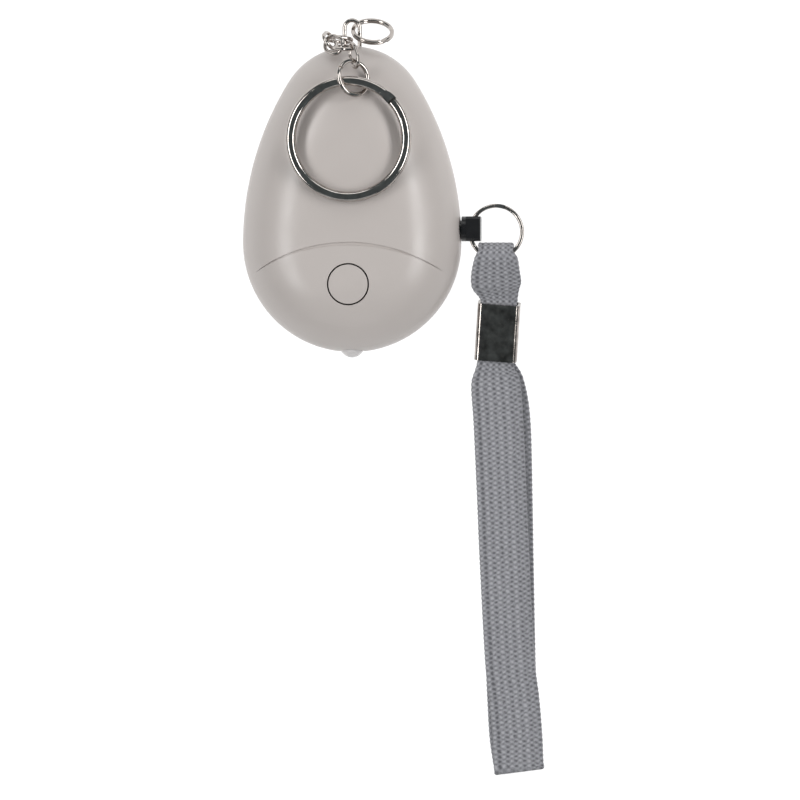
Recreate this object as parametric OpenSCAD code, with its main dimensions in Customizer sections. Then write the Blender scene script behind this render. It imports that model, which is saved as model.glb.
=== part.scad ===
// Egg-shaped personal safety alarm with a pull pin, wrist strap, torch, chain and key ring.
// It lies on its back: origin at the centre of the rear resting face, +Z out of the front, +Y to the chain.

/* [Housing] */
// Widest width of the housing
body_width = 43.8; // [42:0.2:48]
// Length of the housing along its axis
body_length = 61.2; // [60:0.2:66]
// Height of the front shell above the parting line
front_depth = 11; // [10.6:0.1:12]
// Depth of the rear shell below the parting line
rear_depth = 9; // [8.8:0.1:9.4]
// Fullness of the front shell's crown
front_swell = 0.44; // [0.4:0.01:0.46]
// Fullness of the rear shell's crown
rear_swell = 0.3; // [0.26:0.01:0.34]
// Wall thickness of both shells
wall = 1.8; // [1.6:0.1:2]
// Height of the tongue that locates the front shell on the rear one
tongue_height = 1; // [0.6:0.1:1.4]
// Radius of the moulded arc across the front
arc_radius = 33; // [30:0.5:36]
// Height of the arc's crown above the widest line
arc_crown = -0.1; // [-1:0.1:2]
// Half of the arc's span across the front
arc_reach = 18.9; // [16:0.1:19]
// Width of the moulded arc groove
arc_groove = 0.7; // [0.5:0.1:1.2]
// Depth of the moulded arc groove
arc_depth = 0.35; // [0.2:0.05:0.6]

/* [Screws] */
// Diameter of the screw shanks
screw_d = 1.9; // [1.6:0.1:2.2]
// Diameter of the screw heads
screw_head_d = 3.6; // [3.2:0.1:3.8]
// Height of the screw heads
screw_head_h = 1.3; // [1:0.1:1.4]
// Length of the screw shanks
screw_length = 9; // [8:0.5:10]
// Outside diameter of the screw bosses
boss_d = 4.8; // [4.6:0.1:5.2]
// Place of the two lower screws inside the board's sides
lower_screw_x = 1.5; // [1.2:0.1:1.8]
// Place of the two lower screws above the housing's low end
lower_screw_y = 10.4; // [10:0.1:10.8]
// Place of the upper screw above the widest line
upper_screw_y = 31.2; // [31:0.1:31.6]

/* [Torch] */
// Diameter of the torch button
button_d = 7.8; // [7:0.1:8.6]
// Place of the button above the housing's low end
button_y = 13.4; // [12.6:0.1:13.8]
// Travel of the button
button_travel = 0.6; // [0.3:0.05:0.8]
// Diameter of the torch lamp
led_d = 5; // [4:0.1:5.4]
// Height of the lamp's tip beyond the housing
led_proud = 1.1; // [0.6:0.1:1.8]

/* [Electronics] */
// Thickness of the circuit board
board_t = 1.2; // [0.8:0.1:1.4]
// Height of the board's top face above the rear face
board_top = 6.6; // [6.2:0.1:6.8]
// Width of the circuit board
board_w = 26; // [25.4:0.2:26.8]
// Place of the board's lower edge above the housing's low end
board_low = 7.9; // [7.5:0.1:8.1]
// Upper edge of the board above the widest line
board_high = 13; // [12.4:0.1:13.4]
// Diameter of the siren disc
siren_d = 20; // [17:0.5:20.4]
// Place of the siren above the widest line
siren_y = 3; // [2:0.1:4]
// Diameter of a button cell
cell_d = 11.6; // [11:0.1:11.8]
// Height of a button cell
cell_h = 5.4; // [4.8:0.1:5.5]
// Number of button cells in the row
cell_count = 3; // [2:1:3]
// Place of the cell row above the widest line
cell_y = 22.4; // [22.2:0.1:22.6]

/* [Pull pin] */
// Diameter of the pin that holds the switch open
pin_d = 3.4; // [3:0.1:3.6]
// Depth of the pin inside the housing
pin_depth = 11; // [10:0.1:11.4]
// Place of the pin above the widest line
pin_y = 2.7; // [2.5:0.1:2.9]
// Length of the pin's head beyond its collar
head_length = 2.9; // [2.8:0.1:3.6]
// Height and depth of the pin's head
head_size = 4.9; // [4.7:0.1:5]
// Diameter of the pin's collar
collar_d = 5; // [4.8:0.1:5.4]
// Thickness of the pin's collar
collar_t = 0.9; // [0.7:0.1:1]
// Outside diameter of the pin ring
pin_ring_d = 11.2; // [11:0.1:11.6]

/* [Wrist strap] */
// Width of the webbing
strap_w = 10; // [9.4:0.1:10.2]
// Thickness of the webbing
strap_t = 0.9; // [0.7:0.05:1]
// Length of the metal clamp on the strap
crimp_length = 11.6; // [10:0.1:12.4]
// Width of the metal clamp on the strap
crimp_w = 8.5; // [8.2:0.1:9]
// Sheet thickness of the clamp
crimp_wall = 0.5; // [0.4:0.05:0.6]

/* [Chain and rings] */
// Wire diameter of the fixed bail
bail_wire = 0.85; // [0.8:0.05:0.9]
// Outside width of the bail
bail_w = 3.9; // [3.8:0.1:4.2]
// Height of the bail above the housing's tip
bail_proud = 5.6; // [5.4:0.1:6]
// Outside diameter of the small ring on the bail
chain_ring_d = 8.6; // [8.4:0.1:8.8]
// Length of a chain link
link_length = 5.7; // [5.6:0.05:5.8]
// Width of a chain link
link_w = 4.1; // [4:0.05:4.2]
// Wire diameter of a chain link
link_wire = 0.75; // [0.6:0.05:0.8]
// Outside diameter of the jump ring
jump_d = 8; // [7.9:0.1:8.2]
// Wire diameter of the jump ring
jump_wire = 1; // [0.8:0.05:1.05]
// Outside diameter of the key ring
key_ring_d = 25; // [24:0.5:27]
// Radial thickness of the key ring's wire
key_wire = 2; // [1.6:0.1:2.1]
// Thickness of one turn of the key ring's wire
key_turn = 1; // [0.7:0.05:1]

/* [Hidden] */
$fn = 64;

// Fits and small sizes that several pieces share
running_fit = 0.08;
loose_fit = 0.2;
seat_gap = 0.05;
sheet_t = 0.4;
far = 100;

body_grey = "#C0B7B3";
black_plastic = "#1C1C1E";
nickel = "#A39A94";
webbing_grey = "#8A898E";

// Heights of the main planes
parting_z = rear_depth;
floor_z = wall;
board_under = board_top - board_t;

// Egg outline: a low arc, two long side arcs and the tip's arc. Right triangles with whole-number
// sides set the centres, so that every arc meets the next exactly in line.
egg_triangle = [45, 28, 53];
crown_triangle = [15, 8, 17];
low_radius = body_width / 2;
taper = (body_length - body_width) / 20;
tip_y = egg_triangle.y * taper;
side_centre = egg_triangle.x * taper;
side_radius = low_radius + side_centre;
tip_radius = low_radius - (egg_triangle.z - egg_triangle.x) * taper;
tip_end = tip_y + tip_radius;

// Sweeps a profile round the egg: its x is the distance from the outline, negative inwards
module egg_sweep() {
    seam_x = egg_triangle.x;
    seam_y = tip_y + egg_triangle.y;
    turned(low_radius, 180, 180) children();
    for (side = [-1, 1]) intersection() {
        translate([-side * side_centre, 0, 0]) turned(side_radius, side > 0 ? -15 : 135, 60) children();
        upright_prism([[0, 0], [side * far, 0], [side * seam_x, seam_y], [0, tip_y]]);
    }
    intersection() {
        translate([0, tip_y, 0]) turned(tip_radius, 15, 150) children();
        upright_prism([[0, tip_y], [seam_x, seam_y], [0, 2 * far], [-seam_x, seam_y]]);
    }
}

// Turns a profile round an arc of the outline, as far in as the arc's own centre
module turned(radius, start, angle) {
    rotate_extrude(angle = angle, start = start) intersection() {
        translate([radius, 0]) children();
        translate([0, -far / 2]) square(far);
    }
}

module upright_prism(points) {
    translate([0, 0, -far / 2]) linear_extrude(far) polygon(points);
}

// Sizes of a shell's height profile: rim arc's radius, shoulder's inset and crown arc's radius
function rim_of(depth, swell) = depth - (crown_triangle.z - crown_triangle.y) * swell;
function shoulder_of(depth, swell) = rim_of(depth, swell) + crown_triangle.x * swell;
function crown_of(depth, swell) = rim_of(depth, swell) + crown_triangle.z * swell;

// Height profile of a shell: a rim arc that runs into a wide crown arc and then a flat face
module shoulder_profile(depth, swell, inset) {
    rim = rim_of(depth, swell);
    shoulder = shoulder_of(depth, swell);
    crown = crown_of(depth, swell);
    join_x = -rim + (rim - inset) * crown_triangle.x / crown_triangle.z;
    translate([-far, 0]) square([far - shoulder, depth - inset]);
    intersection() {
        translate([-shoulder, depth - crown]) circle(crown - inset, $fn = 180);
        polygon([[-shoulder, 0], [join_x, 0], [join_x, depth], [-shoulder, depth]]);
    }
    intersection() {
        translate([-rim, 0]) circle(rim - inset, $fn = 120);
        polygon([[join_x, 0], [rim, 0], [rim, depth], [join_x, depth]]);
    }
}

module front_skin() {
    translate([0, 0, parting_z]) egg_sweep() difference() {
        shoulder_profile(front_depth, front_swell, 0);
        shoulder_profile(front_depth, front_swell, wall);
    }
}

module rear_skin() {
    translate([0, 0, parting_z]) rotate([0, 180, 0]) egg_sweep() difference() {
        shoulder_profile(rear_depth, rear_swell, 0);
        shoulder_profile(rear_depth, rear_swell, wall);
    }
}

module front_half(inset) {
    translate([0, 0, parting_z]) egg_sweep() shoulder_profile(front_depth, front_swell, inset);
}

module rear_half(inset) {
    translate([0, 0, parting_z]) rotate([0, 180, 0]) egg_sweep()
        shoulder_profile(rear_depth, rear_swell, inset);
}

// Screws: two clamp the board, one holds the tip
low_screw = [board_w / 2 - lower_screw_x, low_radius - lower_screw_y];
screw_places = [[-low_screw.x, -low_screw.y], [low_screw.x, -low_screw.y], [0, upper_screw_y]];
screw_seat = 2.6;
screw_hole_d = screw_d + 2 * running_fit;
head_hole_d = screw_head_d + 2 * loose_fit;

// Pin socket: its guide stops short of the leaf springs at the pin's tip
leaf_x = low_radius - pin_depth - 0.8;
leaf_length = 3;
leaf_w = 2.4;
leaf_gap = 0.3;
pin_guide_d = pin_d + 4;
pin_guide_x = leaf_x + leaf_length + leaf_gap;
pin_bore_d = pin_d + 2 * running_fit;
pin_face_x = low_radius + 0.1;
ring_hole_x = pin_face_x + collar_t + 1.15;
ring_hole_d = 2.3;

// Torch button's place on the axis
button_gap = 0.3;
button_place = button_y - low_radius;

// Torch lamp: its dome and skirt sit in a hole across the parting line
led_tip_y = -low_radius - led_proud;
led_dome_y = led_tip_y + led_d / 2;
led_base_y = led_dome_y + 5.2;
led_hole_d = led_d + loose_fit;
led_flange_t = 1;
lead_d = 0.5;
lead_x = 1.27;

// Bail: an oval wire loop caught in the tip
bail_inner_y = tip_end - 5.2;
bail_length = tip_end + bail_proud - bail_inner_y;
bail_y = (tip_end + bail_proud + bail_inner_y) / 2;
bail_leg_x = (bail_w - bail_wire) / 2;

// Button cells stand in a row along X
cell_pitch = cell_h + seat_gap;
cell_row = cell_count * cell_pitch - seat_gap;
cell_z = parting_z;
cell_rib_t = 1.2;
contact_x = cell_row / 2 + seat_gap;

module oval_wire(length, width, wire) {
    bend = (width - wire) / 2;
    straight = length - width;
    for (end = [0, 180]) rotate(end) translate([straight / 2, 0, 0])
        rotate_extrude(angle = 180, start = -90) translate([bend, 0]) circle(d = wire, $fn = 48);
    for (side = [-1, 1]) translate([0, side * bend, 0]) rotate([0, 90, 0])
        cylinder(d = wire, h = straight, center = true, $fn = 48);
}

module bail_loop(wire) {
    translate([0, bail_y, parting_z]) rotate(90) oval_wire(bail_length, bail_w, wire);
}

// What both shells are cut by: pin bore, lamp hole and the bail's channel
module shared_holes() {
    translate([pin_guide_x - 1, pin_y, parting_z]) rotate([0, 90, 0]) cylinder(d = pin_bore_d, h = far);
    translate([0, -far, parting_z]) rotate([-90, 0, 0])
        cylinder(d = led_hole_d, h = far + led_base_y - led_flange_t);
    bail_loop(bail_wire + 2 * running_fit);
}

// What both shells carry inside: the pin's guide and the block round the bail
module shared_lugs() {
    translate([pin_guide_x, pin_y, parting_z]) rotate([0, 90, 0]) cylinder(d = pin_guide_d, h = low_radius);
    difference() {
        translate([-bail_w / 2 - 2.5, bail_inner_y - 0.9, parting_z - 4]) cube([bail_w + 5, tip_radius, 8]);
        cell_space();
    }
}

// Tongue on the rear rim, and the step in the front rim that it locates in
tongue_t = wall / 2 - 2 * seat_gap;
module tongue() {
    translate([0, 0, parting_z - 0.5]) egg_sweep()
        translate([-wall + seat_gap, 0]) square([tongue_t, tongue_height + 0.5]);
}

module tongue_step() {
    translate([0, 0, parting_z - 0.5]) egg_sweep()
        translate([-wall - 0.6, 0]) square([tongue_t + 0.6 + 2 * seat_gap, tongue_height + 0.5 + seat_gap]);
}

// Moulded arc: a groove between two arcs that share their ends, so that it thins to nothing there
module arc_cut() {
    rise = arc_radius - sqrt(arc_radius ^ 2 - arc_reach ^ 2);
    lower_rise = rise - arc_groove;
    lower_radius = (arc_reach ^ 2 + lower_rise ^ 2) / (2 * lower_rise);
    difference() {
        translate([0, arc_crown - arc_radius, parting_z + 1]) cylinder(r = arc_radius, h = far, $fn = 360);
        translate([0, arc_crown - arc_groove - lower_radius, parting_z])
            cylinder(r = lower_radius, h = 2 * far, $fn = 360);
        front_half(arc_depth);
    }
}

module screw_boss_front(place, bottom) {
    translate([place.x, place.y, bottom]) cylinder(d = boss_d, h = parting_z - bottom + 1);
    intersection() {
        front_half(wall / 2);
        translate([place.x, place.y, parting_z]) cylinder(d = boss_d, h = far);
    }
}

module front_shell() {
    color(body_grey) difference() {
        union() {
            front_skin();
            for (place = [screw_places[0], screw_places[1]]) screw_boss_front(place, board_top);
            screw_boss_front(screw_places[2], parting_z);
            intersection() {
                front_half(wall / 2);
                shared_lugs();
            }
        }
        tongue_step();
        shared_holes();
        translate([0, button_place, parting_z]) cylinder(d = button_d + 2 * button_gap, h = far);
        for (place = screw_places) translate([place.x, place.y, screw_seat])
            cylinder(d = screw_hole_d, h = screw_length + 0.4);
        arc_cut();
    }
}

// Room that the cell row needs
module cell_space() {
    translate([0, cell_y, cell_z]) rotate([0, 90, 0])
        cylinder(d = cell_d + 2 * seat_gap, h = cell_row + 2 * seat_gap, center = true);
}

// Saddle ribs that carry the cell row, with end walls behind the two contacts
module cell_cradle() {
    saddle_w = cell_d - 1.6;
    saddle_h = cell_z - cell_d / 4;
    end_wall_w = cell_d - 3.6;
    end_wall_x = contact_x + sheet_t + seat_gap + cell_rib_t / 2;
    difference() {
        for (side = [-1, 1]) {
            translate([side * cell_row / 4 - cell_rib_t / 2, cell_y - saddle_w / 2, 0])
                cube([cell_rib_t, saddle_w, saddle_h]);
            translate([side * end_wall_x - cell_rib_t / 2, cell_y - end_wall_w / 2, 0])
                cube([cell_rib_t, end_wall_w, cell_z]);
        }
        cell_space();
    }
}

module siren_seat() {
    translate([0, siren_y, 0]) difference() {
        cylinder(d = siren_d + 1.6, h = siren_z);
        translate([0, 0, -1]) cylinder(d = siren_d - 1.6, h = far);
    }
}

siren_z = 3.4;
siren_t = 0.25;
ceramic_t = 0.2;
sound_hole_d = 1.6;
sound_ring_r = 5;
sound_holes = 6;
board_post_x = 11;
board_post_y = 10.6;

module rear_shell() {
    color(body_grey) difference() {
        union() {
            rear_skin();
            intersection() {
                rear_half(wall / 2);
                union() {
                    for (place = screw_places)
                        translate([place.x, place.y, 0])
                            cylinder(d = boss_d, h = place.y < 0 ? board_under : parting_z);
                    for (side = [-1, 1])
                        translate([side * board_post_x, board_post_y, 0]) cylinder(d = 3, h = board_under);
                    cell_cradle();
                    siren_seat();
                    shared_lugs();
                }
            }
            tongue();
        }
        shared_holes();
        for (place = screw_places) translate([place.x, place.y, -1]) {
            cylinder(d = screw_hole_d, h = far);
            cylinder(d = head_hole_d, h = screw_seat + 1);
        }
        translate([0, siren_y, -1]) {
            cylinder(d = sound_hole_d, h = floor_z + 2);
            for (i = [0 : sound_holes - 1]) rotate(i * 360 / sound_holes)
                translate([sound_ring_r, 0, 0]) cylinder(d = sound_hole_d, h = floor_z + 2);
        }
    }
}

module shell_screws() {
    color("silver") for (place = screw_places) translate([place.x, place.y, screw_seat]) difference() {
        union() {
            cylinder(d = screw_d, h = screw_length);
            translate([0, 0, -screw_head_h]) cylinder(d = screw_head_d, h = screw_head_h);
        }
        for (turn = [0, 90]) rotate(turn) translate([-1.1, -0.25, -screw_head_h - 1]) cube([2.2, 0.5, 1.7]);
    }
}

// Board: cut to the housing's inside at its lower corners, and clear of the pin's guide
board_low_y = board_low - low_radius;
rear_crown = crown_of(rear_depth, rear_swell);
crown_drop = rear_crown - board_under;
inner_reach = sqrt((rear_crown - wall) ^ 2 - crown_drop ^ 2);
board_inset = shoulder_of(rear_depth, rear_swell) - inner_reach + loose_fit;

module circuit_board() {
    color("#2F5D3A") translate([0, 0, board_under]) difference() {
        intersection() {
            translate([-board_w / 2, board_low_y, 0]) cube([board_w, board_high - board_low_y, board_t]);
            egg_sweep() translate([-far, 0]) square([far - board_inset, board_t]);
        }
        translate([pin_guide_x - seat_gap, pin_y, parting_z - board_under]) rotate([0, 90, 0])
            cylinder(d = pin_guide_d + 2 * seat_gap, h = far);
        for (place = [screw_places[0], screw_places[1]])
            translate([place.x, place.y, -1]) cylinder(d = screw_hole_d, h = far);
    }
}

chip_size = [5, 4, 1.5];
chip_place = [-6.5, 1.5];
coil_d = 7;
coil_h = 5;
coil_place = [-2.6, 8.8];

module controller_chip() {
    color(black_plastic) translate([chip_place.x, chip_place.y, board_top + chip_size.z / 2])
        cube(chip_size, center = true);
}

// Drum-core coil that steps the cell voltage up for the siren
module siren_coil() {
    color("#3A2A22") translate([coil_place.x, coil_place.y, board_top]) {
        cylinder(d = coil_d, h = 1);
        cylinder(d = coil_d - 1.4, h = coil_h);
        translate([0, 0, coil_h - 1]) cylinder(d = coil_d, h = 1);
    }
}

switch_w = 6;
switch_h = 3.5;
plunger_d = 3.4;
plunger_h = 1.5;
plunger_z = board_top + switch_h - button_travel - 0.1;
plunger_top = board_top + switch_h + plunger_h;

module tactile_switch() {
    color(black_plastic) translate([0, button_place, board_top]) difference() {
        translate([-switch_w / 2, -switch_w / 2, 0]) cube([switch_w, switch_w, switch_h]);
        translate([0, 0, switch_h - 2 * button_travel - 0.4]) cylinder(d = plunger_d + loose_fit, h = far);
    }
}

module switch_plunger() {
    color("#D8D4C8") translate([0, button_place, plunger_z])
        cylinder(d = plunger_d, h = plunger_top - plunger_z);
}

module siren_disc() {
    color("#C7A45A") translate([0, siren_y, siren_z]) cylinder(d = siren_d, h = siren_t);
}

module siren_ceramic() {
    color("#E6E1D6") translate([0, siren_y, siren_z + siren_t]) cylinder(d = siren_d - 6, h = ceramic_t);
}

// Spring pins that carry the drive from the board down to the disc and its ceramic
module siren_pins() {
    ceramic_top = siren_z + siren_t + ceramic_t;
    disc_top = siren_z + siren_t;
    color("silver") {
        translate([0, siren_y, ceramic_top]) cylinder(d = 1, h = board_under - ceramic_top);
        translate([siren_d / 2 - 1.4, siren_y, disc_top]) cylinder(d = 1, h = board_under - disc_top);
    }
}

module button_cells() {
    rim = 0.5;
    color("#B9BCC0") for (i = [0 : cell_count - 1])
        translate([-cell_row / 2 + i * cell_pitch, cell_y, cell_z]) rotate([0, 90, 0]) {
            cylinder(d = cell_d, h = cell_h - rim);
            cylinder(d = cell_d - 2.2, h = cell_h);
        }
}

// Sheet contact: a plate against the end cell, with a tail that lies on the board
module cell_contact(side) {
    plate_w = 6;
    tail_w = 2;
    tail_y = board_high - 2;
    color("silver") translate([side * (contact_x + sheet_t / 2), 0, 0]) {
        translate([-sheet_t / 2, cell_y - plate_w / 2, board_top]) cube([sheet_t, plate_w, 6]);
        translate([-sheet_t / 2, tail_y, board_top]) cube([sheet_t, cell_y - tail_y, tail_w]);
        translate([-tail_w / 2, tail_y, board_top]) cube([tail_w, 1.6, sheet_t]);
    }
}

module positive_contact() {
    cell_contact(1);
}

module negative_contact() {
    cell_contact(-1);
}

// Two leaf springs that the pin holds apart: pulling it lets them meet and starts the siren
module lower_pin_leaf() {
    leaf_t = parting_z - pin_d / 2 - leaf_gap - board_top;
    color("#C7A45A") translate([leaf_x - 0.4, pin_y - leaf_w / 2, board_top])
        cube([leaf_length, leaf_w, leaf_t]);
}

module upper_pin_leaf() {
    top = parting_z + pin_d / 2 + leaf_gap;
    color("#C7A45A") translate([leaf_x - 0.8, pin_y - leaf_w / 2, board_top]) {
        translate([-sheet_t, 0, 0]) cube([sheet_t, leaf_w, top - board_top + sheet_t]);
        translate([-sheet_t, 0, top - board_top]) cube([leaf_length, leaf_w, sheet_t]);
    }
}

module torch_led() {
    color("#F2F2EE") translate([0, 0, parting_z]) {
        translate([0, led_dome_y, 0]) rotate([-90, 0, 0]) cylinder(d = led_d, h = led_base_y - led_dome_y);
        intersection() {
            translate([0, led_dome_y, 0]) sphere(d = led_d);
            translate([-far / 2, led_dome_y - far, -far / 2]) cube(far);
        }
        translate([0, led_base_y - led_flange_t, 0]) rotate([-90, 0, 0])
            cylinder(d = led_d + 0.8, h = led_flange_t);
    }
}

module led_leads() {
    lead_y = board_low_y + 1;
    color("silver") for (side = [-1, 1]) translate([side * lead_x, 0, 0]) {
        translate([0, led_base_y, parting_z]) rotate([-90, 0, 0])
            cylinder(d = lead_d, h = lead_y - led_base_y + lead_d / 2, $fn = 24);
        translate([0, lead_y, board_top]) cylinder(d = lead_d, h = parting_z - board_top, $fn = 24);
    }
}

// Cap that follows the shell's surface, with a catch flange under the wall and a stem to the switch
button_flange_z = parting_z + 6.4;
module torch_button() {
    color(body_grey) {
        intersection() {
            front_half(0);
            translate([0, button_place, button_flange_z]) cylinder(d = button_d, h = far);
        }
        translate([0, button_place, button_flange_z]) cylinder(d = button_d + 1.4, h = 0.9);
        translate([0, button_place, plunger_top])
            cylinder(d = plunger_d, h = button_flange_z - plunger_top + 0.5);
    }
}

module chain_bail() {
    color(nickel) bail_loop(bail_wire);
}

module pull_pin() {
    tip = 0.6;
    head_x = pin_face_x + collar_t;
    color(black_plastic) translate([0, pin_y, parting_z]) difference() {
        union() {
            translate([low_radius - pin_depth, 0, 0]) rotate([0, 90, 0]) {
                cylinder(d1 = pin_d - 2 * tip, d2 = pin_d, h = tip);
                translate([0, 0, tip]) cylinder(d = pin_d, h = pin_depth + pin_face_x - low_radius - tip);
            }
            translate([pin_face_x, 0, 0]) rotate([0, 90, 0]) cylinder(d = collar_d, h = collar_t);
            translate([head_x, 0, 0]) rotate([0, 90, 0]) linear_extrude(head_length)
                bevelled_square(head_size, 0.5);
        }
        translate([ring_hole_x, 0, 0]) rotate([90, 0, 0]) cylinder(d = ring_hole_d, h = far, center = true);
    }
}

module bevelled_square(size, cut) {
    half = size / 2;
    flat = half - cut;
    polygon([[-half, -flat], [-flat, -half], [flat, -half], [half, -flat],
             [half, flat], [flat, half], [-flat, half], [-half, flat]]);
}

// Two-turn split ring of half-round wire: each turn stops short and a sloped stretch climbs between them
module split_ring(outer_d, radial, turn, climb) {
    lap = 2;
    middle = outer_d / 2 - radial / 2;
    slope = atan(turn / (middle * climb * PI / 180));
    rotate_extrude(angle = 360 - climb, start = climb, $fn = 96) translate([middle, 0]) two_turns(radial, turn);
    intersection() {
        rotate_extrude(angle = climb + 2 * lap, start = -lap, $fn = 96) translate([middle, 0])
            two_turns(radial, turn);
        rotate(climb / 2) translate([middle, 0, 0]) rotate([slope, 0, 0])
            cube([2 * radial, outer_d, turn * cos(slope)], center = true);
    }
}

// Sections of both turns, flat to flat, with a groove where they meet
module two_turns(width, height) {
    bend = 0.8 * min(height, width / 2);
    groove = 0.15 * height;
    difference() {
        rounded_rect(width, 2 * height, bend);
        for (side = [-1, 1]) translate([side * width / 2, 0]) rotate(45)
            square(groove * sqrt(2), center = true);
    }
}

// Pin ring: lies level through the pin's eye
small_wire = 0.8;
small_turn = 0.5;
small_climb = 24;
pin_ring_r = pin_ring_d / 2 - small_wire / 2;
pin_ring_x = ring_hole_x - 0.4 + pin_ring_r;
pin_ring_y = pin_y - 0.6;

module pin_ring() {
    color(nickel) translate([pin_ring_x, pin_ring_y, parting_z]) rotate(70)
        split_ring(pin_ring_d, small_wire, small_turn, small_climb);
}

// Strap: one length of webbing, looped through the pin ring and clamped with the wrist loop's end
ply_gap = 0.25;
ply = strap_t + ply_gap;
crimp_tilt = 12;
crimp_lean = -4.4;
crimp_h = 2 * ply + strap_t + 0.3 + 2 * crimp_wall;
crimp_centre = [pin_ring_x, -17.7, 3.6];
crimp_along = [-sin(crimp_lean) * cos(crimp_tilt), cos(crimp_lean) * cos(crimp_tilt), sin(crimp_tilt)];
crimp_up = [sin(crimp_lean) * sin(crimp_tilt), -cos(crimp_lean) * sin(crimp_tilt), cos(crimp_tilt)];
pinched_w = crimp_w - 2 * crimp_wall - 0.3;
loop_w = 7;
loop_flare = 1.6;
loop_r = 1.9 + strap_t / 2;
loop_y = pin_ring_y - pin_ring_r + 0.35;
lower_ply_z = strap_t / 2 + seat_gap;
upper_ply_z = lower_ply_z + ply + 0.05;
fold_r = (upper_ply_z - lower_ply_z) / 2;

function clamped(along, level) =
    concat(crimp_centre + along * crimp_along + level * ply * crimp_up, pinched_w);
function loop_width(a) = loop_w + loop_flare * max(0, abs(a) - 66) / 44;
function round_ring(a) = [pin_ring_x, loop_y + loop_r * cos(a), parting_z + loop_r * sin(a), loop_width(a)];

// The wrist loop's far fold lies askew, and its lower ply comes back a little to the left
fold_centre = [32.7, -105.4];
fold_turn = 7.5;
fold_drift = 0.4;
fold_along = [sin(fold_turn), -cos(fold_turn)];
fold_across = [cos(fold_turn), sin(fold_turn), 0];
fold_from = -95;
function round_fold(a) = concat(
    fold_centre + [fold_drift * (2 - a / 90), 0] - fold_r * cos(a) * fold_along,
    lower_ply_z + fold_r * (1 + sin(a)), strap_w
);

// Route of the webbing: each station is a place and the width there
upper_run = [
    [28.9, -36], [29.6, -51], [30.1, -63], [31.2, -83.5], [32.1, -91.5], [32.7, -98.5], [33, -103]
];
lower_run = [
    [32.2, -103], [31.9, -98.5], [31.6, -91.5], [31.3, -83.5], [30.9, -63], [30.7, -51], [30.3, -36]
];
half_crimp = crimp_length / 2;
stations = concat(
    [clamped(-half_crimp + 1, 0), clamped(half_crimp, 0)],
    [concat([pin_ring_x, -8.2, 5.6], strap_w - 0.6)],
    [for (a = [-110 : 44 : 110]) round_ring(a)],
    [concat([pin_ring_x, -8.2, 8.7], strap_w)],
    [clamped(half_crimp, 1), clamped(-half_crimp, 1)],
    [concat([28.4, -28, 2.4], strap_w - 0.2)],
    [for (p = upper_run) [p.x, p.y, upper_ply_z, strap_w]],
    [for (a = [90 : 45 : 270]) round_fold(a)],
    [for (p = lower_run) [p.x, p.y, lower_ply_z, strap_w]],
    [concat([29.3, -28.5, 0.75], strap_w - 0.4)],
    [clamped(-half_crimp, -1), clamped(half_crimp - 1, -1)]
);
steps_between = 3;

function curve(a, b, c, d, t) =
    (2 * b + (c - a) * t + (2 * a - 5 * b + 4 * c - d) * t ^ 2 + (3 * b - a - 3 * c + d) * t ^ 3) / 2;
function smooth(p) = [
    for (i = [0 : len(p) - 2], k = [0 : steps_between - 1])
        curve(p[max(i - 1, 0)], p[i], p[i + 1], p[min(i + 2, len(p) - 1)], k / steps_between),
    p[len(p) - 1]
];
function place_of(s) = [s[0], s[1], s[2]];
function unit(v) = v / norm(v);

// Cross-section of the webbing: a flat band with thinned edges
function band(s, run) =
    let (hinge = s[1] < fold_from ? fold_across : [1, 0, 0], up = unit(cross(hinge, run)),
         side = cross(run, up), half = s[3] / 2, h = strap_t / 2)
    [for (c = [[-1, -0.4], [-0.94, -1], [0.94, -1], [1, -0.4], [1, 0.4], [0.94, 1], [-0.94, 1], [-1, 0.4]])
        place_of(s) + c.x * half * side + c.y * h * up];

module swept_band(route) {
    last = len(route) - 1;
    runs = [for (i = [0 : last]) unit(place_of(route[min(i + 1, last)]) - place_of(route[max(i - 1, 0)]))];
    sides = 8;
    points = [for (i = [0 : last]) each band(route[i], runs[i])];
    walls = [for (i = [0 : last - 1], k = [0 : sides - 1])
        let (n = (k + 1) % sides, a = i * sides, b = a + sides)
        each [[a + k, b + k, b + n], [a + k, b + n, a + n]]];
    near_end = [for (k = [1 : sides - 2]) [0, k, k + 1]];
    far_end = [for (k = [1 : sides - 2]) [last * sides, last * sides + k + 1, last * sides + k]];
    polyhedron(points, concat(walls, near_end, far_end));
}

module wrist_strap() {
    color(webbing_grey) swept_band(smooth(stations));
}

module rounded_rect(w, h, r) {
    for (size = [[w - 2 * r, h], [w, h - 2 * r]]) square(size, center = true);
    for (x = [-1, 1], y = [-1, 1]) translate([x * (w / 2 - r), y * (h / 2 - r)]) circle(r, $fn = 32);
}

// Clamp: a sheet-metal sleeve wrapped round the plies, its edges meeting on the back
module strap_crimp() {
    seam = 0.4;
    color("silver") translate(crimp_centre) rotate([crimp_tilt, 0, crimp_lean]) rotate([90, 0, 0])
        linear_extrude(crimp_length, center = true) difference() {
            rounded_rect(crimp_w, crimp_h, 1);
            rounded_rect(crimp_w - 2 * crimp_wall, crimp_h - 2 * crimp_wall, 0.5);
            translate([-seam / 2, -crimp_h]) square([seam, crimp_h]);
        }
}

// Small ring on the bail's right leg, leaning on the tip
module chain_ring() {
    color(nickel) translate([4.1, tip_end + 2.9, parting_z]) rotate([-54, 0, -7]) rotate(-60)
        split_ring(chain_ring_d, small_wire, small_turn, small_climb);
}

// Chain: each link runs between two touching places and is rolled about that line
chain_start = [0, tip_end, parting_z];
link_steps = [
    [-0.9, 1.1, 0], [-4, 1.5, 1.6], [-4.4, 0.5, 4.8], [-2, -0.5, 7.1], [0.6, -0.9, 9.4], [1.7, -3.9, 11.2]
];
link_joints = [for (step = link_steps) chain_start + step];
link_rolls = [105, 150, 0, 105, 60];

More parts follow.
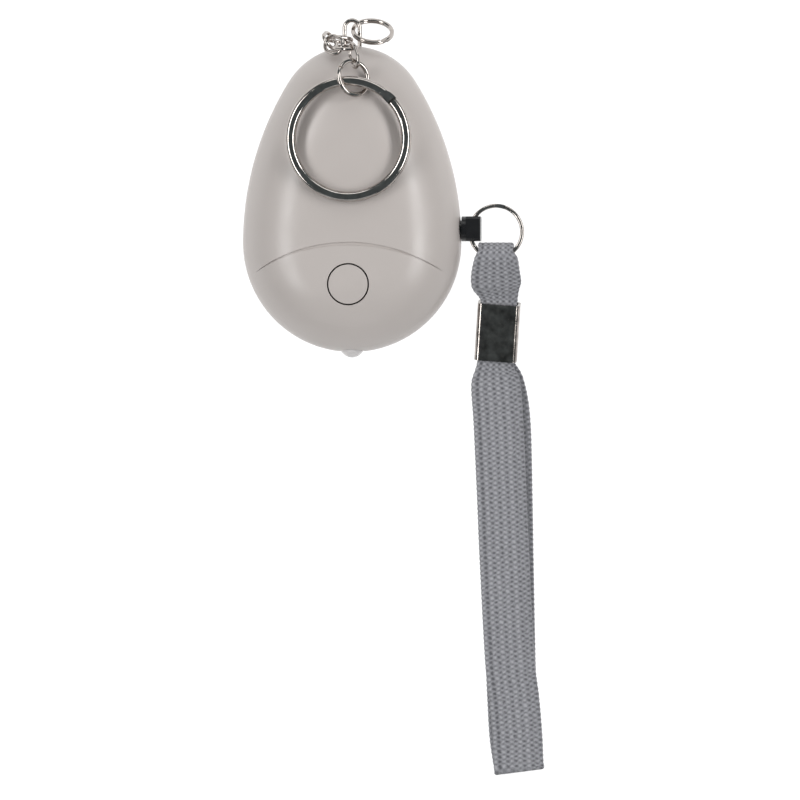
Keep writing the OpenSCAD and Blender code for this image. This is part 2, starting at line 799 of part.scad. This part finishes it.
module chain_link(i) {
    from = link_joints[i];
    to = link_joints[i + 1];
    along = unit(to - from);
    level = unit(cross(along, [0, 0, 1]));
    across = level * cos(link_rolls[i]) + cross(along, level) * sin(link_rolls[i]);
    out = cross(along, across);
    mid = (from + to) / 2;
    color(nickel) multmatrix([
        [along.x, across.x, out.x, mid.x],
        [along.y, across.y, out.y, mid.y],
        [along.z, across.z, out.z, mid.z]
    ]) oval_wire(link_length, link_w, link_wire);
}

module chain_link_1() {
    chain_link(0);
}

module chain_link_2() {
    chain_link(1);
}

module chain_link_3() {
    chain_link(2);
}

module chain_link_4() {
    chain_link(3);
}

module chain_link_5() {
    chain_link(4);
}

// Key ring: it lies on the front, and the jump ring hangs it from the last link
key_ring_z = parting_z + front_depth + 0.3 + key_turn;
key_edge_y = tip_end - 6.5;
key_ring_y = key_edge_y - key_ring_d / 2;
jump_place = [1.2, key_edge_y - 0.3, key_ring_z - 0.2];

module jump_ring() {
    slit = 4;
    color(nickel) translate(jump_place) rotate([-10, 40, 0])
        rotate_extrude(angle = 360 - slit, start = 150, $fn = 96)
        translate([(jump_d - jump_wire) / 2, 0]) circle(d = jump_wire, $fn = 32);
}

module key_ring() {
    climb = 14;
    color(nickel) translate([0.2, key_ring_y, key_ring_z]) rotate(40)
        split_ring(key_ring_d, key_wire, key_turn, climb);
}

front_shell();
rear_shell();
shell_screws();
circuit_board();
controller_chip();
siren_coil();
tactile_switch();
switch_plunger();
siren_disc();
siren_ceramic();
siren_pins();
button_cells();
positive_contact();
negative_contact();
lower_pin_leaf();
upper_pin_leaf();
torch_led();
led_leads();
torch_button();
chain_bail();
pull_pin();
pin_ring();
wrist_strap();
strap_crimp();
chain_ring();
chain_link_1();
chain_link_2();
chain_link_3();
chain_link_4();
chain_link_5();
jump_ring();
key_ring();
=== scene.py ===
"""Looks for the egg-shaped safety alarm: finishes on the CAD pieces, a woven wrist strap, a pale floor and soft
light. The script works in metres in the part's own frame, with the strap's route in millimetres. The alarm lies
on its back and the camera looks down on it."""

import math

import bpy
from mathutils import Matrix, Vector


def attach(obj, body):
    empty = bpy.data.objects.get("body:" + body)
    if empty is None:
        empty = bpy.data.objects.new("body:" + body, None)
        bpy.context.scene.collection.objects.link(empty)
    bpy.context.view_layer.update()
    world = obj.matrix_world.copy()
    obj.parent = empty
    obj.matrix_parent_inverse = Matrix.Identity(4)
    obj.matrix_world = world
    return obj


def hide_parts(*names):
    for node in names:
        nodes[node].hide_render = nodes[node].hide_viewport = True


MM = 0.001

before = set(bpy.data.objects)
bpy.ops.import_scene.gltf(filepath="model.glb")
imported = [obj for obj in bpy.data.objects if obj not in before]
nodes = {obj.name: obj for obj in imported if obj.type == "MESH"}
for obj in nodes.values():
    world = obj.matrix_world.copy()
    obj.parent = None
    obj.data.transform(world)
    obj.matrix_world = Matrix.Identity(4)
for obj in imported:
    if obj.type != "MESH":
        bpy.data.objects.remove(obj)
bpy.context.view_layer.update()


# Shader nodes

NOISE_LOW = 0.3
NOISE_HIGH = 0.7


def new_material(name):
    """A new material, its node tree and its principled shader."""
    mat = bpy.data.materials.new(name)
    mat.use_nodes = True
    tree = mat.node_tree
    return mat, tree, tree.nodes["Principled BSDF"]


def add(tree, kind, **settings):
    """One new node with its settings."""
    made = tree.nodes.new(kind)
    for key, value in settings.items():
        setattr(made, key, value)
    return made


def maths(tree, operation, a, b=None):
    """One maths node: each input is a socket or a plain number."""
    made = add(tree, "ShaderNodeMath", operation=operation)
    for socket, value in zip(made.inputs, (a, b)):
        if value is None:
            continue
        if isinstance(value, (int, float)):
            socket.default_value = value
        else:
            tree.links.new(value, socket)
    return made.outputs[0]


def object_noise(tree, scale, detail=4.0):
    """Noise in the part's own space, so that it keeps its size on every piece."""
    place = add(tree, "ShaderNodeTexCoord")
    noise = add(tree, "ShaderNodeTexNoise")
    noise.inputs["Scale"].default_value = scale
    noise.inputs["Detail"].default_value = detail
    tree.links.new(place.outputs["Object"], noise.inputs["Vector"])
    return noise.outputs["Fac"]


def spread(tree, value, low, high):
    """Maps noise to a range round its usual middle."""
    made = add(tree, "ShaderNodeMapRange")
    made.inputs["From Min"].default_value = NOISE_LOW
    made.inputs["From Max"].default_value = NOISE_HIGH
    made.inputs["To Min"].default_value = low
    made.inputs["To Max"].default_value = high
    tree.links.new(value, made.inputs["Value"])
    return made.outputs["Result"]


def tint(tree, value, first, second):
    """Blends two colours by a value from 0 to 1: each colour is a socket or plain red, green and blue."""
    made = add(tree, "ShaderNodeMix", data_type="RGBA")
    colours = [s for s in made.inputs if s.type == "RGBA"]
    for socket, colour in zip(colours, (first, second)):
        if isinstance(colour, bpy.types.NodeSocket):
            tree.links.new(colour, socket)
        else:
            socket.default_value = (*colour, 1)
    tree.links.new(value, made.inputs["Factor"])
    return [s for s in made.outputs if s.type == "RGBA"][0]


def bump(tree, shader, height, strength, distance):
    """Roughens a shader's surface by a height."""
    made = add(tree, "ShaderNodeBump")
    made.inputs["Strength"].default_value = strength
    made.inputs["Distance"].default_value = distance
    tree.links.new(height, made.inputs["Height"])
    tree.links.new(made.outputs["Normal"], shader.inputs["Normal"])


# Plastic, metal and the lamp

# Painted shadow line where the shells meet: its half width and how dark it is against the plastic
PARTING_Z = 9.0 * MM
SEAM_SHADOW_HALF = 0.11 * MM
SEAM_SHADOW_FACTOR = 0.35
MOTTLE_SCALE = 90
SHEEN_SCALE = 240
SHEEN_SPREAD = 0.05
GRAIN_SCALE = 5200
GRAIN_DEPTH = 0.02 * MM
WEAR_SCALE = 500
POLISH_SCALE = 1500
POLISH_LOW = 0.6
POLISH_HIGH = 1.4
DENT_SCALE = 900
DENT_STRENGTH = 0.25
DENT_DEPTH = 0.04 * MM
LAMP_SCALE = 300


def paint_seam_shadow(tree, colour, shade):
    """Paints shade into a colour along the level where the two shells meet: a dark line in place of the shadow
    in the gap between them.
    """
    place = add(tree, "ShaderNodeTexCoord")
    split = add(tree, "ShaderNodeSeparateXYZ")
    tree.links.new(place.outputs["Object"], split.inputs["Vector"])
    off = maths(tree, "ABSOLUTE", maths(tree, "SUBTRACT", split.outputs["Z"], PARTING_Z))
    fade = maths(tree, "SUBTRACT", 1.0, maths(tree, "DIVIDE", off, SEAM_SHADOW_HALF))
    return tint(tree, maths(tree, "MAXIMUM", fade, 0.0), colour, shade)


def plastic(name, dark, light, rough, grain, with_seam_shadow=False):
    """Moulded plastic: a slight mottle, an uneven sheen and a fine grain, and if asked a painted shadow line
    where the two shells meet.
    """
    mat, tree, shader = new_material(name)
    colour = tint(tree, object_noise(tree, MOTTLE_SCALE), dark, light)
    # Painted shade: darkens a thin band at the parting level
    if with_seam_shadow:
        colour = paint_seam_shadow(tree, colour, [SEAM_SHADOW_FACTOR * c for c in dark])
    tree.links.new(colour, shader.inputs["Base Color"])
    sheen = spread(tree, object_noise(tree, SHEEN_SCALE), rough - SHEEN_SPREAD, rough + SHEEN_SPREAD)
    tree.links.new(sheen, shader.inputs["Roughness"])
    shader.inputs["Specular IOR Level"].default_value = 0.45
    bump(tree, shader, object_noise(tree, GRAIN_SCALE, 2.0), grain, GRAIN_DEPTH)
    return mat


def metal(name, dark, light, rough):
    """Plated or bare metal with faint wear in its polish."""
    mat, tree, shader = new_material(name)
    shader.inputs["Metallic"].default_value = 1.0
    worn = spread(tree, object_noise(tree, WEAR_SCALE), 0.0, 1.0)
    tree.links.new(tint(tree, worn, dark, light), shader.inputs["Base Color"])
    polish = spread(tree, object_noise(tree, POLISH_SCALE), rough * POLISH_LOW, rough * POLISH_HIGH)
    tree.links.new(polish, shader.inputs["Roughness"])
    bump(tree, shader, object_noise(tree, DENT_SCALE, 3.0), DENT_STRENGTH, DENT_DEPTH)
    return mat


def clear_lamp(name, dark, light):
    """The lamp's clear resin, which lets part of the light through."""
    mat, tree, shader = new_material(name)
    colour = tint(tree, object_noise(tree, LAMP_SCALE), dark, light)
    tree.links.new(colour, shader.inputs["Base Color"])
    shader.inputs["Roughness"].default_value = 0.14
    shader.inputs["Transmission Weight"].default_value = 0.25
    shader.inputs["IOR"].default_value = 1.5
    return mat


# Webbing: the pitch of its weave and selvedge serve both the finish and the mesh

WEAVE_COLUMNS = 12
WEAVE_STITCH = 1.0 * MM
SELVEDGE = 0.75
GROOVE_SHARP = 10.0
SWAY_SCALE = 700
SWAY = 0.16
FUZZ_SCALE = 2500
FUZZ = 0.14
# How much painted light and shade the weave's relief puts into the colour: lit bead tops, lit columns and the
# shaded selvedge groove
MID_SHADE = 0.5
BEAD_PAINTED_SHADE = 0.36
COLUMN_PAINTED_LIGHT = 0.14
GROOVE_PAINTED_SHADOW = 0.22
WEAVE_BUMP = 0.6
WEAVE_DEPTH = 0.12 * MM


def webbing(name, dark, light):
    """Plain-weave webbing: columns of beads, each column half a stitch on from its neighbour, and a groove
    inside each selvedge. Its colour paints in the light and shade of that relief: bead tops and every other
    column lighter, the hollows between beads and the selvedge grooves darker, with a random fuzz on top. The UV
    map runs across from 0 to 1, and along in metres."""
    mat, tree, shader = new_material(name)
    uv = add(tree, "ShaderNodeUVMap", uv_map="Weave")
    split = add(tree, "ShaderNodeSeparateXYZ")
    tree.links.new(uv.outputs["UV"], split.inputs["Vector"])
    sway = spread(tree, object_noise(tree, SWAY_SCALE, 2.0), -SWAY, SWAY)
    columns = maths(tree, "ADD", maths(tree, "MULTIPLY", split.outputs["X"], WEAVE_COLUMNS), sway)
    rows = maths(tree, "ADD", maths(tree, "DIVIDE", split.outputs["Y"], WEAVE_STITCH), sway)
    # Painted light and shade: bead tops and every other column lighter, the hollows between beads darker
    over = maths(tree, "COSINE", maths(tree, "MULTIPLY", maths(tree, "SUBTRACT", columns, 0.5), math.pi))
    under = maths(tree, "COSINE", maths(tree, "MULTIPLY", rows, 2 * math.pi))
    crossed = maths(tree, "MULTIPLY", maths(tree, "MULTIPLY", over, under), BEAD_PAINTED_SHADE)
    beads = maths(tree, "ADD", crossed, MID_SHADE)
    beads = maths(tree, "ADD", beads, maths(tree, "MULTIPLY", over, COLUMN_PAINTED_LIGHT))
    off_middle = maths(tree, "SUBTRACT", maths(tree, "MULTIPLY", split.outputs["X"], 2.0), 1.0)
    rim = maths(tree, "ABSOLUTE", off_middle)
    off_groove = maths(tree, "ABSOLUTE", maths(tree, "SUBTRACT", rim, SELVEDGE))
    off_groove = maths(tree, "MULTIPLY", off_groove, GROOVE_SHARP)
    groove = maths(tree, "MAXIMUM", maths(tree, "SUBTRACT", 1.0, off_groove), 0.0)
    fuzz = spread(tree, object_noise(tree, FUZZ_SCALE, 6.0), -FUZZ, FUZZ)
    # Painted shadow in the groove inside each selvedge
    groove_shadow = maths(tree, "MULTIPLY", groove, GROOVE_PAINTED_SHADOW)
    shade = maths(tree, "SUBTRACT", maths(tree, "ADD", beads, fuzz), groove_shadow)
    tree.links.new(tint(tree, shade, dark, light), shader.inputs["Base Color"])
    shader.inputs["Roughness"].default_value = 0.85
    shader.inputs["Specular IOR Level"].default_value = 0.25
    shader.inputs["Sheen Weight"].default_value = 0.15
    bump(tree, shader, shade, WEAVE_BUMP, WEAVE_DEPTH)
    return mat


# Finish of each CAD piece

# The body's grey gets the painted shadow line at the parting of its shells
body_grey = plastic("body_grey", (0.482, 0.437, 0.413), (0.508, 0.462, 0.438), 0.33, 0.12, with_seam_shadow=True)
pin_black = plastic("pin_black", (0.005, 0.005, 0.006), (0.010, 0.010, 0.011), 0.30, 0.10)
black_parts = plastic("black_parts", (0.012, 0.012, 0.013), (0.020, 0.020, 0.021), 0.45, 0.10)
white_parts = plastic("white_parts", (0.66, 0.63, 0.56), (0.74, 0.71, 0.64), 0.5, 0.10)
board_green = plastic("board_green", (0.020, 0.080, 0.035), (0.028, 0.100, 0.045), 0.35, 0.05)
nickel = metal("nickel", (0.380, 0.345, 0.320), (0.540, 0.500, 0.470), 0.13)
clamp_plate = metal("clamp_plate", (0.160, 0.142, 0.130), (0.460, 0.415, 0.385), 0.16)
bright_steel = metal("bright_steel", (0.55, 0.56, 0.57), (0.66, 0.67, 0.68), 0.28)
dark_steel = metal("dark_steel", (0.10, 0.10, 0.105), (0.18, 0.18, 0.185), 0.35)
brass = metal("brass", (0.60, 0.42, 0.16), (0.72, 0.52, 0.22), 0.30)
lamp = clear_lamp("lamp", (0.78, 0.74, 0.73), (0.88, 0.84, 0.83))
# The webbing's dark and light colours are the shaded and lit tones of its weave
strap_weave = webbing("strap_weave", (0.108, 0.107, 0.116), (0.395, 0.392, 0.415))

FINISHES = {
    body_grey: ["front_shell", "rear_shell", "torch_button"],
    pin_black: ["pull_pin"],
    black_parts: ["controller_chip", "siren_coil", "tactile_switch"],
    white_parts: ["switch_plunger", "siren_ceramic"],
    board_green: ["circuit_board"],
    nickel: ["chain_bail", "pin_ring", "chain_ring", "jump_ring", "key_ring"]
            + [f"chain_link_{i}" for i in range(1, 6)],
    clamp_plate: ["strap_crimp"],
    dark_steel: ["shell_screws"],
    bright_steel: ["siren_pins", "button_cells", "positive_contact", "negative_contact", "led_leads"],
    brass: ["siren_disc", "lower_pin_leaf", "upper_pin_leaf"],
    lamp: ["torch_led"],
}
for finish, names in FINISHES.items():
    for name in names:
        nodes[name].data.materials.clear()
        nodes[name].data.materials.append(finish)


# Wrist strap: close to the route of the CAD webbing, with a straight far fold. Each station is x, y, z and a
# width, in millimetres

STRAP_W = 10.0
STRAP_T = 0.9
SCALLOP = 0.1
PLY = 1.15
RING_X = 28.85
LOOP_Y = -2.75
LOOP_Z = 9.0
LOOP_R = 2.35
LOOP_W = 7.0
LOOP_FLARE = 1.6
LOOP_END = 110
LOOP_STEP = 44
CRIMP = Vector((28.85, -17.7, 3.6))
CRIMP_HALF = 5.8
END_INSET = 1
PINCHED = 7.2
TILT = math.radians(12)
LEAN = math.radians(-4.4)
CRIMP_ALONG = Vector((-math.sin(LEAN) * math.cos(TILT), math.cos(LEAN) * math.cos(TILT), math.sin(TILT)))
CRIMP_UP = Vector((math.sin(LEAN) * math.sin(TILT), -math.cos(LEAN) * math.sin(TILT), math.cos(TILT)))
LOW_Z = 0.5
HIGH_Z = 1.7
FOLD_R = (HIGH_Z - LOW_Z) / 2
FOLD_CENTRE = (33.0, -105.3)
FOLD_TURN = math.radians(7.5)
FOLD_ACROSS = Vector((math.cos(FOLD_TURN), math.sin(FOLD_TURN), 0))
FOLD_FROM = -95
FOLD_STEP = 45
TO_RING = (RING_X, -8.2, 5.6, STRAP_W - 0.6)
FROM_RING = (RING_X, -8.2, 8.7, STRAP_W)
UPPER_START = (28.4, -28, 2.4, STRAP_W - 0.2)
UPPER_RUN = [(28.9, -36), (29.6, -51), (30.1, -63), (31.2, -83.5), (32.1, -91.5), (32.7, -98.5), (32.9, -103)]
LOWER_RUN = [(32.6, -103), (32.0, -98.5), (31.6, -91.5), (31.3, -83.5), (30.9, -63), (30.7, -51), (30.3, -36)]
LOWER_END = (29.3, -28.5, 0.75, STRAP_W - 0.4)
ROUTE_STEP = 0.3
POINTS_ACROSS = 49

# Section of the strap: where its edge starts to thin, how thin it gets, and the relief of the weave
EDGE_FROM = 0.9
EDGE_SPAN = 0.1
EDGE_THIN = 0.25
FACE_LEVEL = 0.86
BEAD_LIFT = 0.10
COLUMN_LIFT = 0.04
GROOVE_DIP = 0.08


def clamped(along, level):
    """A station inside the clamp, on one of its plies: -1, 0 or 1."""
    p = CRIMP + along * CRIMP_ALONG + level * PLY * CRIMP_UP
    return (*p, PINCHED)


def round_ring(degrees):
    """A station on the loop through the pin ring, which flares towards its ends."""
    a = math.radians(degrees)
    width = LOOP_W + LOOP_FLARE * max(0, abs(degrees) - (LOOP_END - LOOP_STEP)) / LOOP_STEP
    return (RING_X, LOOP_Y + LOOP_R * math.cos(a), LOOP_Z + LOOP_R * math.sin(a), width)


def round_fold(degrees):
    """A station on the slanted far fold."""
    a = math.radians(degrees)
    back = FOLD_R * math.cos(a)
    x = FOLD_CENTRE[0] - back * math.sin(FOLD_TURN)
    return (x, FOLD_CENTRE[1] + back * math.cos(FOLD_TURN), LOW_Z + FOLD_R * (1 + math.sin(a)), STRAP_W)


stations = [clamped(END_INSET - CRIMP_HALF, 0), clamped(CRIMP_HALF, 0), TO_RING]
stations += [round_ring(a) for a in range(-LOOP_END, LOOP_END + 1, LOOP_STEP)]
stations += [FROM_RING, clamped(CRIMP_HALF, 1), clamped(-CRIMP_HALF, 1), UPPER_START]
stations += [(x, y, HIGH_Z, STRAP_W) for x, y in UPPER_RUN]
stations += [round_fold(a) for a in range(90, 271, FOLD_STEP)]
stations += [(x, y, LOW_Z, STRAP_W) for x, y in LOWER_RUN]
stations += [LOWER_END, clamped(-CRIMP_HALF, -1), clamped(CRIMP_HALF - END_INSET, -1)]


def curve(a, b, c, d, t):
    """A point between b and c on the smooth curve through four stations."""
    return [
        (2 * q + (r - p) * t + (2 * p - 5 * q + 4 * r - s) * t**2 + (3 * q - p - 3 * r + s) * t**3) / 2
        for p, q, r, s in zip(a, b, c, d)
    ]


def fine_route(points, step):
    """Stations along a smooth curve through the points, about a step apart."""
    out = []
    for i in range(len(points) - 1):
        a, b = points[max(i - 1, 0)], points[i]
        c, d = points[i + 1], points[min(i + 2, len(points) - 1)]
        count = max(3, math.ceil((Vector(c[:3]) - Vector(b[:3])).length / step))
        out += [curve(a, b, c, d, k / count) for k in range(count)]
    return out + [list(points[-1])]


def swell(u, row):
    """Share of half the strap's thickness at u across it, from 0 to 1, in a row of the weave."""
    rim = abs(2 * u - 1)
    plump = math.sqrt(max(0.0, 1 - max(0.0, (rim - EDGE_FROM) / EDGE_SPAN) ** 2)) * (1 - EDGE_THIN) + EDGE_THIN
    column = math.cos(math.pi * (WEAVE_COLUMNS * u - 0.5))
    groove = max(0.0, 1 - GROOVE_SHARP * abs(rim - SELVEDGE))
    return plump * (FACE_LEVEL + BEAD_LIFT * column * row + COLUMN_LIFT * column - GROOVE_DIP * groove)


def build_strap(name, route, across):
    """A closed band with the weave's beads on both faces and a UV map that counts metres along it."""
    ring = 2 * across
    one_face = [k / (across - 1) for k in range(across)]
    shares = one_face + [1 - u for u in one_face]
    places = [Vector(s[:3]) for s in route]
    last = len(route) - 1
    run_length = 0.0
    lengths = []
    verts = []
    for i, (s, p) in enumerate(zip(route, places)):
        if i:
            run_length += (p - places[i - 1]).length
        lengths.append(run_length)
        run = (places[min(i + 1, last)] - places[max(i - 1, 0)]).normalized()
        hinge = FOLD_ACROSS if p.y < FOLD_FROM else Vector((1, 0, 0))
        up = hinge.cross(run).normalized()
        side = run.cross(up)
        row = math.cos(2 * math.pi * run_length * MM / WEAVE_STITCH)
        width = s[3] + SCALLOP * row
        for k, u in enumerate(shares):
            face = 1 if k < across else -1
            lift = face * STRAP_T / 2 * swell(u, row)
            verts.append((p + (u - 0.5) * width * side + lift * up) * MM)
    faces = []
    for i in range(last):
        for k in range(ring):
            n = (k + 1) % ring
            faces.append((i * ring + k, i * ring + n, (i + 1) * ring + n, (i + 1) * ring + k))
    faces.append(tuple(range(ring)))
    faces.append(tuple(last * ring + k for k in reversed(range(ring))))
    mesh = bpy.data.meshes.new(name)
    mesh.from_pydata(verts, [], faces)
    layer = mesh.uv_layers.new(name="Weave")
    for poly in mesh.polygons:
        for corner in poly.loop_indices:
            i, k = divmod(mesh.loops[corner].vertex_index, ring)
            layer.data[corner].uv = (shares[k], lengths[i] * MM)
        poly.use_smooth = True
    mesh.update()
    obj = bpy.data.objects.new(name, mesh)
    bpy.context.scene.collection.objects.link(obj)
    return obj, run_length


strap, strap_length = build_strap("strap_webbing", fine_route(stations, ROUTE_STEP), POINTS_ACROSS)
strap.data.materials.append(strap_weave)
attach(strap, "strap")
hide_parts("wrist_strap")


# Floor, light and camera

FLOOR_REACH = 2.5
FLOOR_DROP = 0.1 * MM
FLOOR_GLOW = 1.0
FLOOR_SCALE = 3
FLOOR_DARK = (0.11, 0.11, 0.11)
FLOOR_LIGHT = (0.13, 0.13, 0.13)
LIGHT_AIM = (0.008, -0.010, 0.0)
SKY_COLOUR = (0.78, 0.94, 1.0, 1)
SKY_STRENGTH = 0.12
PIXELS = 800
PX_PER_MM = 5.0
CAMERA_AIM = Vector((9.6, -31.5, 9.0)) * MM
CAMERA_AWAY = 1.4
CAMERA_TILT = math.radians(4)
SENSOR = 36.0


def plain_floor():
    """A white light table: it is bright by its own glow, which keeps shadows out, as in the photograph."""
    mesh = bpy.data.meshes.new("floor")
    turns = [(-1, -1), (1, -1), (1, 1), (-1, 1)]
    mesh.from_pydata([(x * FLOOR_REACH, y * FLOOR_REACH, 0) for x, y in turns], [], [(0, 1, 2, 3)])
    floor = bpy.data.objects.new("floor", mesh)
    bpy.context.scene.collection.objects.link(floor)
    floor.location.z = -FLOOR_DROP
    mat, tree, shader = new_material("floor_white")
    colour = tint(tree, object_noise(tree, FLOOR_SCALE), FLOOR_DARK, FLOOR_LIGHT)
    tree.links.new(colour, shader.inputs["Base Color"])
    shader.inputs["Roughness"].default_value = 0.9
    shader.inputs["Emission Color"].default_value = (1, 1, 1, 1)
    shader.inputs["Emission Strength"].default_value = FLOOR_GLOW
    mesh.materials.append(mat)


def area_light(name, place, size, power):
    """A softbox that points at the middle of the part."""
    data = bpy.data.lights.new(name, "AREA")
    data.shape = "RECTANGLE"
    data.size, data.size_y = size
    data.energy = power
    light = bpy.data.objects.new(name, data)
    light.location = place
    light.rotation_euler = (Vector(LIGHT_AIM) - Vector(place)).to_track_quat("-Z", "Y").to_euler()
    bpy.context.scene.collection.objects.link(light)


plain_floor()
area_light("left_softbox", (-0.66, 0.02, 0.80), (1.0, 0.30), 6.6)
area_light("right_softbox", (0.72, 0.06, 0.74), (1.0, 0.26), 7.0)
area_light("top_fill", (0.10, 1.00, 0.62), (1.2, 0.5), 3.0)
area_light("low_fill", (-0.10, -1.05, 0.50), (1.2, 0.4), 1.0)

world = bpy.data.worlds.new("studio")
bpy.context.scene.world = world
world.use_nodes = True
sky = world.node_tree.nodes["Background"]
sky.inputs["Color"].default_value = SKY_COLOUR
sky.inputs["Strength"].default_value = SKY_STRENGTH

camera_data = bpy.data.cameras.new("camera")
camera_data.sensor_width = SENSOR
camera_data.lens = SENSOR * CAMERA_AWAY / (PIXELS / PX_PER_MM * MM)
camera_data.clip_start, camera_data.clip_end = 0.01, 20
camera = bpy.data.objects.new("camera", camera_data)
camera.location = CAMERA_AIM + CAMERA_AWAY * Vector((math.sin(CAMERA_TILT), 0, math.cos(CAMERA_TILT)))
camera.rotation_euler = (0, CAMERA_TILT, 0)
bpy.context.scene.collection.objects.link(camera)
bpy.context.scene.camera = camera
bpy.context.scene.view_settings.view_transform = "Standard"
